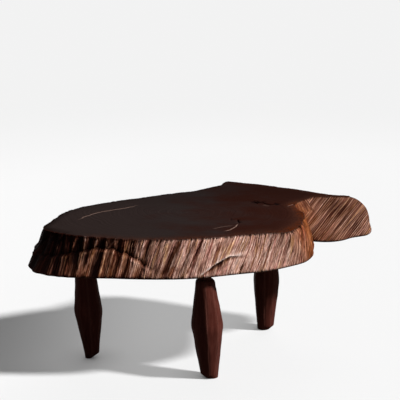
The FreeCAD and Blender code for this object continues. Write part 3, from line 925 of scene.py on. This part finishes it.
def add_underside(parts, boundary, starts):
    """The sawn underside, and the three blind holes that take the legs' tenons."""
    def in_hole(point, margin=0.0):
        return any(math.dist(point, leg.top) <= MORTISE_RADIUS + margin for leg in LEGS)

    inner = add_flat_face(
        parts, boundary, starts, 0.0, UNDER_RINGS, UNDER_STEP, lambda *_: UNDER_Z
    )
    numbers = boundary + [n for n in inner if not in_hole(parts.points[n][:2], 0.004)]
    loops = [list(range(len(boundary)))]
    angles = np.linspace(0.0, 2.0 * math.pi, MORTISE_SIDES, endpoint=False)
    circle = MORTISE_RADIUS * np.column_stack([np.cos(angles), np.sin(angles)])
    for leg in LEGS:
        rim = np.column_stack([leg.top + circle, np.full(MORTISE_SIDES, UNDER_Z)])
        mouth = parts.add_points(rim)
        end = parts.add_points(rim + (0.0, 0.0, MORTISE_DEPTH))
        loops.append(list(range(len(numbers), len(numbers) + MORTISE_SIDES)))
        numbers = numbers + mouth
        for side in range(MORTISE_SIDES):
            after = (side + 1) % MORTISE_SIDES
            parts.add_face((mouth[side], mouth[after], end[after], end[side]), UNDERSIDE)
        parts.add_face(reversed(end), UNDERSIDE)
    flat = parts.level(numbers)
    for face in fill_outline(flat, loops):
        if not in_hole(flat[face].mean(0)):
            parts.add_face((numbers[corner] for corner in reversed(face)), UNDERSIDE)


def object_from(name, points, faces, materials, kinds=None, attributes=()):
    """A new object in the scene from points and faces.

    kinds says which material each face has, and each attribute has a value at each point."""
    mesh = bpy.data.meshes.new(name)
    mesh.from_pydata([tuple(p) for p in points], [], faces)
    mesh.polygons.foreach_set("use_smooth", [True] * len(faces))
    for material in materials:
        mesh.materials.append(material)
    if kinds is not None:
        mesh.polygons.foreach_set("material_index", kinds)
    for attribute, values in dict(attributes).items():
        values = np.asarray(values, np.float32)
        kind, field = ("FLOAT_VECTOR", "vector") if values.ndim == 2 else ("FLOAT", "value")
        layer = mesh.attributes.new(attribute, kind, "POINT")
        layer.data.foreach_set(field, values.ravel())
    mesh.update()
    piece = bpy.data.objects.new(name, mesh)
    bpy.context.scene.collection.objects.link(piece)
    return piece


# Legs and joints

class Leg:
    """One leg's sizes. Widths are across opposite corners of the octagon.

    lean is how far its top lies to the right of its foot, and turn is in degrees. A toe has a
    width, a height and a shift to the right, and a belly a width and a height. The top is in
    line with the wedge in the leg's tenon."""

    def __init__(self, name, lean, turn, toe, foot_width, belly):
        self.name = name
        self.lean = lean
        self.turn = turn
        self.toe_width, self.toe_height, self.toe_shift = toe
        self.foot_width = foot_width
        self.belly_width, self.belly_height = belly
        self.stand = middle_of(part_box("wedge_" + name)) - (lean, 0.0)
        self.top = self.stand + (lean, 0.0)


NECK_WIDTH = 0.056
COLLAR_WIDTH = 0.038
COLLAR_HEIGHT = 0.018
SHOULDER_WIDTH = 0.036
SHOULDER_DROP = 0.036
NECK_Z = UNDER_Z - SHOULDER_DROP
COLLAR_Z = UNDER_Z - COLLAR_HEIGHT
TENON_RADIUS = 0.016
TENON_LENGTH = 0.055
TENON_CHAMFER = 0.0015
MORTISE_RADIUS = 0.01615
MORTISE_DEPTH = 0.057
LEGS = [
    Leg("left", -0.019, 8.0, (0.018, 0.017, -0.011), 0.042, (0.082, 0.145)),
    Leg("front", -0.014, 0.0, (0.036, 0.012, 0.006), 0.050, (0.091, 0.158)),
    Leg("right", 0.003, -10.0, (0.036, 0.012, -0.006), 0.050, (0.079, 0.154)),
]
# What the carved arrises add to the widths above, before they are softened
LEG_FULLNESS = 0.0045
# How far the arrises are rounded off and over what reach, and how far they are paler, as wear
# and as a painted highlight
ARRIS_ROUND = 0.0016
ARRIS_REACH = 0.0035
WEAR_AND_HIGHLIGHT_REACH = 0.0030
LEG_SIDES = 8
SIDE_STEPS = 10
LEG_ROWS = 96


def leg_profile(leg, z):
    """Width across corners and sideways shift at each height."""
    heights = [0.0, leg.toe_height, leg.belly_height, NECK_Z]
    widths = [leg.toe_width, leg.foot_width, leg.belly_width, NECK_WIDTH]
    width = np.interp(z, heights, widths)
    over = clamp((z - NECK_Z) / (COLLAR_Z - NECK_Z))
    dome = COLLAR_WIDTH + (NECK_WIDTH - COLLAR_WIDTH) * np.sqrt(1.0 - over ** 2)
    width = np.where(z > NECK_Z, dome, width)
    collar = np.interp(z, [COLLAR_Z, UNDER_Z], [COLLAR_WIDTH, SHOULDER_WIDTH])
    width = np.where(z > COLLAR_Z, collar, width)
    return width, leg.toe_shift * clamp(1.0 - z / leg.toe_height)


def leg_rows(leg):
    """Height, width and sideways shift of each ring of the leg, with its belly rounded over."""
    quarter = np.radians(np.linspace(0.0, 90.0, 10))
    rows = np.concatenate([
        np.linspace(0.0, leg.toe_height, 7)[:-1],
        np.linspace(leg.toe_height, NECK_Z, LEG_ROWS)[:-1],
        COLLAR_Z - (COLLAR_Z - NECK_Z) * (1.0 - np.sin(quarter)),
        np.linspace(COLLAR_Z, UNDER_Z, 6)[1:],
    ])
    width, shift = leg_profile(leg, rows)
    width += LEG_FULLNESS * fall(0.012, 0.022, rows - NECK_Z)
    above_toe = [np.maximum(rows + z, leg.toe_height) for z in np.linspace(-0.012, 0.012, 5)]
    rounded = np.mean([leg_profile(leg, z)[0] for z in above_toe], axis=0) + LEG_FULLNESS
    width += (rounded - width) * bump(rows - leg.belly_height, 0.030)
    return rows, width, shift


def make_leg(leg, material, seed):
    """One carved leg with softened arrises, tool marks and its round tenon."""
    shares = (1.0 - np.cos(np.linspace(0.0, math.pi, SIDE_STEPS + 1)[:-1])) / 2.0
    points = []
    flows = []
    for z, width, shift in zip(*leg_rows(leg)):
        centre = leg.stand + (leg.lean * z / UNDER_Z + shift, 0.0)
        for side in range(LEG_SIDES):
            first = math.radians(leg.turn - 90.0 + 45.0 * side)
            start = width / 2.0 * spoke(first)
            run = width / 2.0 * spoke(first + math.radians(45.0)) - start
            for share in shares:
                level = start + run * share
                corner = min(share, 1.0 - share) * math.hypot(*run)
                soft = ARRIS_ROUND * bump(corner, ARRIS_REACH)
                level = level - level / math.hypot(*level) * soft
                points.append((*(centre + level), z))
                flows.append((side + share, z, bump(corner, WEAR_AND_HIGHLIGHT_REACH)))
    points = np.array(points)
    z = points[:, 2]
    turned, _, arris = np.array(flows).T
    facet = np.floor(turned)
    cut = 0.0006 * noise(z / 0.030, facet * 3.7, seed)
    cut += 0.0005 * noise(z / 0.055, turned * 2.0, seed + 1)
    cut -= 0.0008 * arris * noise(z / 0.022, facet * 2.3, seed + 2)
    cut *= smooth_step(0.0, 0.006, z) * fall(UNDER_Z - 0.01, UNDER_Z, z)
    middle = np.column_stack([leg.stand[0] + leg.lean * z / UNDER_Z, np.full_like(z, leg.stand[1])])
    points[:, :2] += unit(points[:, :2] - middle) * cut[:, None]
    return close_leg(leg, list(points), flows, material)


def close_leg(leg, points, flows, material):
    """Skins the rings, adds the toe's flat face and the tenon above the shoulder."""
    ring = LEG_SIDES * SIDE_STEPS
    start = math.radians(leg.turn - 90.0)
    tenon_top = UNDER_Z + TENON_LENGTH
    for z, radius in [(UNDER_Z, TENON_RADIUS), (tenon_top - TENON_CHAMFER, TENON_RADIUS),
                      (tenon_top, TENON_RADIUS - TENON_CHAMFER)]:
        for angle in start + np.linspace(0.0, 2.0 * math.pi, ring, endpoint=False):
            points.append((*(leg.top + radius * spoke(angle)), z))
            flows.append((0.0, z, 0.0))
    rings = np.arange(len(points)).reshape(-1, ring).tolist()
    faces = []
    for low, high in zip(rings, rings[1:]):
        for side in range(ring):
            after = (side + 1) % ring
            faces.append((low[side], low[after], high[after], high[side]))
    faces += [rings[0][::-1], rings[-1]]
    name = "leg_" + leg.name + "_carved"
    piece = object_from(name, points, faces, [material], attributes={"flow": flows})
    piece.data.set_sharp_from_angle(angle=math.radians(40.0))
    return piece


# Materials

class Tree:
    """Short calls for building the nodes of a material or of the world."""

    def __init__(self, owner):
        owner.use_nodes = True
        self.nodes = owner.node_tree.nodes
        self.links = owner.node_tree.links

    def add(self, kind, inputs=(), **settings):
        """A new node with its settings and what goes into its inputs."""
        node = self.nodes.new(kind)
        for key, value in settings.items():
            setattr(node, key, value)
        self.fill(node, inputs)
        return node

    def fill(self, node, inputs):
        """Sets each input to a number, a colour or a vector, or links an output to it."""
        for key, value in dict(inputs).items():
            socket = node.inputs[key]
            if isinstance(value, bpy.types.NodeSocket):
                self.links.new(value, socket)
            elif socket.type == "RGBA":
                socket.default_value = (*value, 1.0)
            else:
                socket.default_value = value

    def math(self, operation, a, b=0.0):
        return self.add("ShaderNodeMath", {0: a, 1: b}, operation=operation).outputs[0]

    def vector(self, operation, a, b):
        return self.add("ShaderNodeVectorMath", {0: a, 1: b}, operation=operation).outputs[0]

    def mix(self, share, a, b, blend="MIX"):
        inputs = {0: share, 6: a, 7: b}
        return self.add("ShaderNodeMix", inputs, data_type="RGBA", blend_type=blend).outputs[2]

    def place(self):
        return self.add("ShaderNodeTexCoord").outputs["Object"]

    def length(self, vector):
        node = self.add("ShaderNodeVectorMath", operation="LENGTH", inputs={0: vector})
        return node.outputs["Value"]

    def split(self, vector):
        return self.add("ShaderNodeSeparateXYZ", {0: vector}).outputs

    def attribute(self, name, kind="Fac"):
        return self.add("ShaderNodeAttribute", attribute_name=name).outputs[kind]

    def noise(self, vector, scales, detail=2.0, rough=0.5):
        """Noise at each place, finer the larger the scales are."""
        scaled = self.vector("MULTIPLY", vector, scales)
        inputs = {"Vector": scaled, "Scale": 1.0, "Detail": detail, "Roughness": rough}
        return self.add("ShaderNodeTexNoise", inputs).outputs["Fac"]

    def smooth(self, value, start, end):
        """Goes smoothly from one (place, amount) to another."""
        inputs = {"Value": value}
        for side, (place, amount) in zip(("Min", "Max"), (start, end)):
            inputs["From " + side] = place
            inputs["To " + side] = amount
        node = self.add("ShaderNodeMapRange", inputs, interpolation_type="SMOOTHSTEP")
        return node.outputs["Result"]

    def ramp(self, value, stops):
        """Stops are (place, colour or grey)."""
        node = self.add("ShaderNodeValToRGB", {0: value})
        while len(node.color_ramp.elements) < len(stops):
            node.color_ramp.elements.new(0.5)
        for element, (place, colour) in zip(node.color_ramp.elements, stops):
            element.position = place
            element.color = (*np.broadcast_to(colour, 3), 1.0)
        return node.outputs[0]


class Material(Tree):
    """The nodes of a material with one shader."""

    def __init__(self, name):
        self.material = bpy.data.materials.new(name)
        super().__init__(self.material)
        self.shader = self.nodes["Principled BSDF"]

    def finish(self, colour, rough, shine, height, strength, distance):
        """Sets the shader's colour, roughness, shine and relief, and returns the material."""
        inputs = {"Strength": strength, "Distance": distance, "Height": height}
        relief = self.add("ShaderNodeBump", inputs).outputs[0]
        self.fill(self.shader, {
            "Base Color": colour, "Roughness": rough, "Specular IOR Level": shine,
            "Normal": relief,
        })
        return self.material


def edge_wood():
    """The slab's live edge: pale waxed ridges with grooves that follow the flutes.

    The grooves are darkened with painted shade.
    """
    tree = Material("edge_wood")
    flow = tree.attribute("flow", "Vector")
    groove = tree.split(flow)[2]
    warmth, darkness, stain_and_painted_light = tree.split(tree.attribute("looks", "Vector"))
    stripes = tree.noise(flow, (175.0, 11.0, 0.0), 3.0, 0.60)
    hairs = tree.noise(flow, (360.0, 20.0, 0.0), 2.0, 0.55)
    bands = tree.noise(flow, (52.0, 17.0, 0.0))
    hues = tree.noise(flow, (95.0, 14.0, 0.0), 1.0)
    flecks = tree.noise(flow, (400.0, 80.0, 0.0), 2.0, 0.6)
    pale = tree.ramp(stripes, [
        (0.36, (0.230, 0.092, 0.066)), (0.45, (0.450, 0.248, 0.190)),
        (0.54, (0.600, 0.382, 0.314)), (0.64, (0.780, 0.570, 0.495)),
    ])
    brown = tree.ramp(stripes, [
        (0.40, (0.024, 0.006, 0.0035)), (0.47, (0.105, 0.036, 0.021)),
        (0.54, (0.205, 0.090, 0.054)), (0.62, (0.470, 0.268, 0.186)),
    ])
    black = tree.ramp(stripes, [
        (0.38, (0.0022, 0.0006, 0.0004)), (0.54, (0.0080, 0.0018, 0.0012)),
        (0.64, (0.0260, 0.0070, 0.0045)), (0.76, (0.1100, 0.0380, 0.0270)),
    ])
    orange = tree.ramp(stripes, [
        (0.36, (0.036, 0.007, 0.003)), (0.45, (0.130, 0.034, 0.010)),
        (0.55, (0.240, 0.071, 0.020)), (0.66, (0.390, 0.150, 0.056)),
    ])
    wood = tree.mix(tree.ramp(darkness, [(0.0, 0.0), (0.5, 1.0)]), pale, brown)
    wood = tree.mix(warmth, wood, orange)
    wood = tree.mix(tree.ramp(darkness, [(0.5, 0.0), (1.0, 1.0)]), wood, black)
    tints = tree.ramp(hues, [
        (0.34, (0.92, 0.84, 0.60)), (0.44, 1.0), (0.56, 1.0), (0.68, (1.0, 0.82, 0.84)),
    ])
    for share, colour in [
        (tree.ramp(bands, [(0.45, 0.0), (0.66, 0.36)]), (0.300, 0.200, 0.110)),
        (tree.ramp(hairs, [(0.38, 0.70), (0.46, 0.0)]), (0.300, 0.150, 0.110)),
        (1.0, tints),
        # Painted shade in the grooves
        (tree.ramp(groove, [(0.30, 0.0), (0.95, 0.85)]), (0.150, 0.060, 0.042)),
        (tree.ramp(flecks, [(0.36, 0.60), (0.48, 0.0)]), (0.300, 0.200, 0.170)),
    ]:
        wood = tree.mix(share, wood, colour, "MULTIPLY")
    wood = tree.mix(tree.ramp(flecks, [(0.53, 0.0), (0.66, 0.65)]), wood, wood, "ADD")
    # Paler below 0: a painted highlight on the gash's lip. Darker above 0: a stain below the rim
    # and painted shade along the foot.
    wear_and_highlight = tree.math("MAXIMUM", tree.math("MULTIPLY", stain_and_painted_light, -1.0))
    wood = tree.mix(wear_and_highlight, wood, (0.780, 0.660, 0.610))
    wood = tree.mix(tree.math("MAXIMUM", stain_and_painted_light), wood, (0.014, 0.0035, 0.0020))
    rough = tree.ramp(groove, [(0.0, 0.50), (1.0, 0.75)])
    height = tree.math("ADD", hairs, tree.math("MULTIPLY", stripes, 1.2))
    return tree.finish(wood, rough, 0.01, tree.math("ADD", height, flecks), 0.5, 0.0014)


# The middle of the top's growth rings
RING_CENTRE = (-0.045, -0.030, 0.0)


def top_wood():
    """The slab's top: dark, satin and flat, with faint growth rings about one centre.

    Its grey towards the left and middle is a painted sheen.
    """
    tree = Material("top_wood")
    spot = tree.place()
    from_centre = tree.vector("SUBTRACT", spot, RING_CENTRE)
    waver = tree.math("MULTIPLY", tree.noise(spot, (7.0, 7.0, 7.0)), 0.075)
    level = tree.vector("MULTIPLY", from_centre, (1.0, 1.45, 0.0))
    radius = tree.math("ADD", tree.length(level), waver)
    ring_place = tree.add("ShaderNodeCombineXYZ", {0: radius}).outputs[0]
    rings = tree.noise(ring_place, (170.0, 0.0, 0.0), 3.0, 0.65)
    clouds = tree.noise(spot, (9.0, 14.0, 9.0), 3.0, 0.55)
    pores = tree.noise(spot, (420.0, 420.0, 420.0))
    teeth = tree.noise(spot, (150.0, 150.0, 150.0), 3.0)
    # The grey is a painted sheen; the red below is the wood's own colour
    grey = tree.ramp(rings, [
        (0.30, (0.0150, 0.0098, 0.0090)), (0.50, (0.0207, 0.0134, 0.0121)),
        (0.70, (0.0290, 0.0190, 0.0172)),
    ])
    red = tree.ramp(rings, [
        (0.30, (0.0167, 0.0042, 0.0024)), (0.50, (0.0229, 0.0060, 0.0036)),
        (0.70, (0.0317, 0.0086, 0.0052)),
    ])
    x, y, _ = tree.split(from_centre)
    # Painted grey sheen towards the left, the wood's own red towards the right
    redness = tree.math("ADD", tree.math("MULTIPLY", x, 1.8), clouds)
    wood = tree.mix(tree.ramp(redness, [(0.40, 0.0), (0.85, 1.0)]), grey, red)
    farther = tree.ramp(y, [(0.0, 0.20), (0.25, 0.80)])
    wood = tree.mix(farther, wood, (0.50, 0.50, 0.50), "MULTIPLY")
    by_rim = tree.attribute("by_rim")
    wear_and_highlight = tree.math("MULTIPLY", by_rim, tree.ramp(clouds, [(0.30, 0.45), (0.60, 1.0)]))
    wear_and_highlight = tree.math("MULTIPLY", wear_and_highlight, tree.ramp(teeth, [(0.40, 0.45), (0.56, 1.15)]))
    dulled = tree.math("MAXIMUM", tree.math("MULTIPLY", by_rim, -1.0))
    mark = tree.attribute("mark")
    pale_mark = tree.math("MULTIPLY", tree.math("MAXIMUM", mark), 0.8)
    dark_mark = tree.math("MAXIMUM", tree.math("MULTIPLY", mark, -1.0))
    for share, colour in [
        (tree.ramp(wear_and_highlight, [(0.0, 0.0), (0.5, 0.9)]), (0.042, 0.0140, 0.0080)),
        (tree.ramp(wear_and_highlight, [(0.4, 0.0), (0.9, 0.9)]), (0.075, 0.0140, 0.0020)),
        (dulled, (0.006, 0.0030, 0.0024)),
        (pale_mark, (0.300, 0.190, 0.150)),
        (dark_mark, (0.004, 0.002, 0.002)),
    ]:
        wood = tree.mix(share, wood, colour)
    rough = tree.ramp(clouds, [(0.30, 0.46), (0.75, 0.58)])
    height = tree.math("ADD", rings, tree.math("MULTIPLY", pores, 0.35))
    return tree.finish(wood, rough, 0.0005, height, 0.16, 0.0010)


def under_wood():
    """The sawn underside: dull brown with saw marks across it."""
    tree = Material("under_wood")
    spot = tree.place()
    saw = tree.noise(spot, (14.0, 260.0, 14.0), 2.0, 0.6)
    clouds = tree.noise(spot, (12.0, 8.0, 8.0), 3.0, 0.6)
    wood = tree.ramp(clouds, [(0.30, (0.055, 0.026, 0.016)), (0.70, (0.135, 0.070, 0.042))])
    wood = tree.mix(tree.ramp(saw, [(0.35, 0.5), (0.55, 0.0)]), wood, (0.045, 0.022, 0.014))
    return tree.finish(wood, 0.72, 0.25, saw, 0.4, 0.0012)


def leg_wood():
    """Carved dark hardwood, oiled to a satin shine.

    Its arrises are lighter, as wear and as a painted highlight.
    """
    tree = Material("leg_wood")
    spot = tree.place()
    grain = tree.noise(spot, (190.0, 190.0, 9.0), 4.0, 0.6)
    clouds = tree.noise(spot, (22.0, 22.0, 9.0))
    arris = tree.split(tree.attribute("flow", "Vector"))[2]
    wood = tree.ramp(grain, [
        (0.28, (0.052, 0.0120, 0.0080)), (0.52, (0.080, 0.0210, 0.0148)),
        (0.75, (0.118, 0.0360, 0.0260)),
    ])
    wood = tree.mix(tree.ramp(clouds, [(0.35, 0.0), (0.70, 0.5)]), wood, (0.044, 0.0130, 0.0098))
    # Lighter on the arrises: wear and a painted highlight
    wood = tree.mix(tree.math("MULTIPLY", arris, 0.22), wood, (0.180, 0.078, 0.060))
    rough = tree.ramp(grain, [(0.30, 0.34), (0.75, 0.50)])
    return tree.finish(wood, rough, 0.005, grain, 0.18, 0.0008)


def wedge_wood():
    """Pale straight-grained hardwood for the wedges in the tenons."""
    tree = Material("wedge_wood")
    grain = tree.noise(tree.place(), (400.0, 400.0, 14.0), 3.0)
    wood = tree.ramp(grain, [(0.30, (0.300, 0.180, 0.095)), (0.70, (0.520, 0.350, 0.210))])
    return tree.finish(wood, 0.62, 0.5, grain, 0.2, 0.0006)


# Setting

BACKGROUND = (0.890, 0.890, 0.890)
FILL = 0.055
# The camera: lens in millimetres on film 36 mm wide, place, and degrees that it looks down
CAMERA_LENS = 173.25
CAMERA_PLACE = (-0.01659, -5.4544, 2.034)
CAMERA_FALL = 16.2
# Lamps: strength, turn from straight in front towards the right, height and softness in degrees
LAMPS = {
    "key": (5.2, 76.0, 42.0, 6.0),
    "front": (0.12, 45.0, 20.0, 50.0),
    "back": (0.70, 165.0, 25.0, 60.0),
}
# The floor: how far it reaches each way, its colour for the light that it throws back up and its
# colour as seen, and the distances between which it fades into the background
FLOOR_REACH = 20.0
FLOOR_BOUNCE = (0.10, 0.10, 0.10)
FLOOR_SHOWN = (0.76, 0.76, 0.76)
FLOOR_FADE = ((1.6, 0.0), (3.2, 1.0))
# Where across the floor its shadows are lifted, and how much: at the left and at the right
SHADOW_LIFTS = ((-0.75, 0.08), (-0.10, 0.40))


def seen_directly(tree):
    """1 for rays from the camera, in reflections and through glass, and 0 for the rest."""
    path = tree.add("ShaderNodeLightPath").outputs
    shown = tree.math("MAXIMUM", path["Is Camera Ray"], path["Is Glossy Ray"])
    return tree.math("MAXIMUM", shown, path["Is Transmission Ray"])


def make_world():
    """Even soft light, seen as a pale background."""
    world = bpy.data.worlds.new("studio")
    tree = Tree(world)
    light = tree.nodes["Background"]
    tree.fill(light, {"Color": (1.0, 1.0, 1.0), "Strength": FILL})
    pale = tree.add("ShaderNodeBackground", {"Color": BACKGROUND})
    mixed = {0: seen_directly(tree), 1: light.outputs[0], 2: pale.outputs[0]}
    surface = tree.add("ShaderNodeMixShader", mixed).outputs[0]
    tree.fill(tree.nodes["World Output"], {"Surface": surface})
    bpy.context.scene.world = world


def make_floor():
    """A wide pale floor that fades into the background far from the table.

    It shows paler than the light that it throws back up, and its shadows are lifted except
    close under a foot."""
    corners = [(-1.0, -1.0), (1.0, -1.0), (1.0, 1.0), (-1.0, 1.0)]
    corners = [(FLOOR_REACH * x, FLOOR_REACH * y, 0.0) for x, y in corners]
    tree = Material("floor")
    shown = seen_directly(tree)
    colour = tree.mix(shown, FLOOR_BOUNCE, FLOOR_SHOWN)
    tree.fill(tree.shader, {"Base Color": colour, "Roughness": 0.6, "Specular IOR Level": 0.0})
    spot = tree.place()
    far = tree.smooth(tree.length(spot), *FLOOR_FADE)
    shadow_lift = tree.smooth(tree.split(spot)[0], *SHADOW_LIFTS)
    beside = tree.add("ShaderNodeAmbientOcclusion", {"Distance": 0.10}, samples=8).outputs["AO"]
    share = tree.math("MAXIMUM", far, tree.math("MULTIPLY", beside, shadow_lift))
    glow = tree.add("ShaderNodeEmission", {"Color": BACKGROUND}).outputs[0]
    mixed = {0: tree.math("MULTIPLY", share, shown), 1: tree.shader.outputs[0], 2: glow}
    surface = tree.add("ShaderNodeMixShader", mixed).outputs[0]
    tree.fill(tree.nodes["Material Output"], {"Surface": surface})
    floor = object_from("floor", corners, [(0, 1, 2, 3)], [tree.material])


def make_lamps():
    """A key lamp at the right, and much softer ones in front and behind."""
    for name, (strength, turn, height, softness) in LAMPS.items():
        lamp = bpy.data.lights.new(name, "SUN")
        lamp.energy = strength
        lamp.angle = math.radians(softness)
        light = bpy.data.objects.new(name, lamp)
        light.rotation_euler = (math.radians(90.0 - height), 0.0, math.radians(turn))
        bpy.context.scene.collection.objects.link(light)


def make_camera():
    """The photograph's viewing angle."""
    camera = bpy.data.cameras.new("camera")
    camera.lens = CAMERA_LENS
    camera.sensor_width = 36.0
    view = bpy.data.objects.new("camera", camera)
    view.location = CAMERA_PLACE
    view.rotation_euler = (math.radians(90.0 - CAMERA_FALL), 0.0, 0.0)
    bpy.context.scene.collection.objects.link(view)
    bpy.context.scene.camera = view


def make_slab():
    """The slab and its materials."""
    parts = make_slab_mesh()
    materials = [edge_wood(), top_wood(), under_wood()]
    attributes = {
        "flow": parts.flows, "looks": parts.looks, "mark": parts.marks, "by_rim": parts.by_rim,
    }
    slab = object_from(
        "slab_live_edge", parts.points, parts.faces, materials, parts.kinds, attributes
    )
    slab.data.set_sharp_from_angle(angle=math.radians(50.0))
    return slab


bpy.context.scene.view_settings.view_transform = "Standard"
make_camera()
make_world()
make_floor()
make_lamps()

slab = make_slab()
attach(slab, "root")
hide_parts("slab_top")

carved = leg_wood()
for index, leg in enumerate(LEGS):
    piece = make_leg(leg, carved, 40 + 10 * index)
    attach(piece, "root")
    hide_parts("leg_" + leg.name)

pale = wedge_wood()
for name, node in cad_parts.items():
    if name.startswith("wedge_"):
        for material_slot in node.material_slots:
            material_slot.material = pale
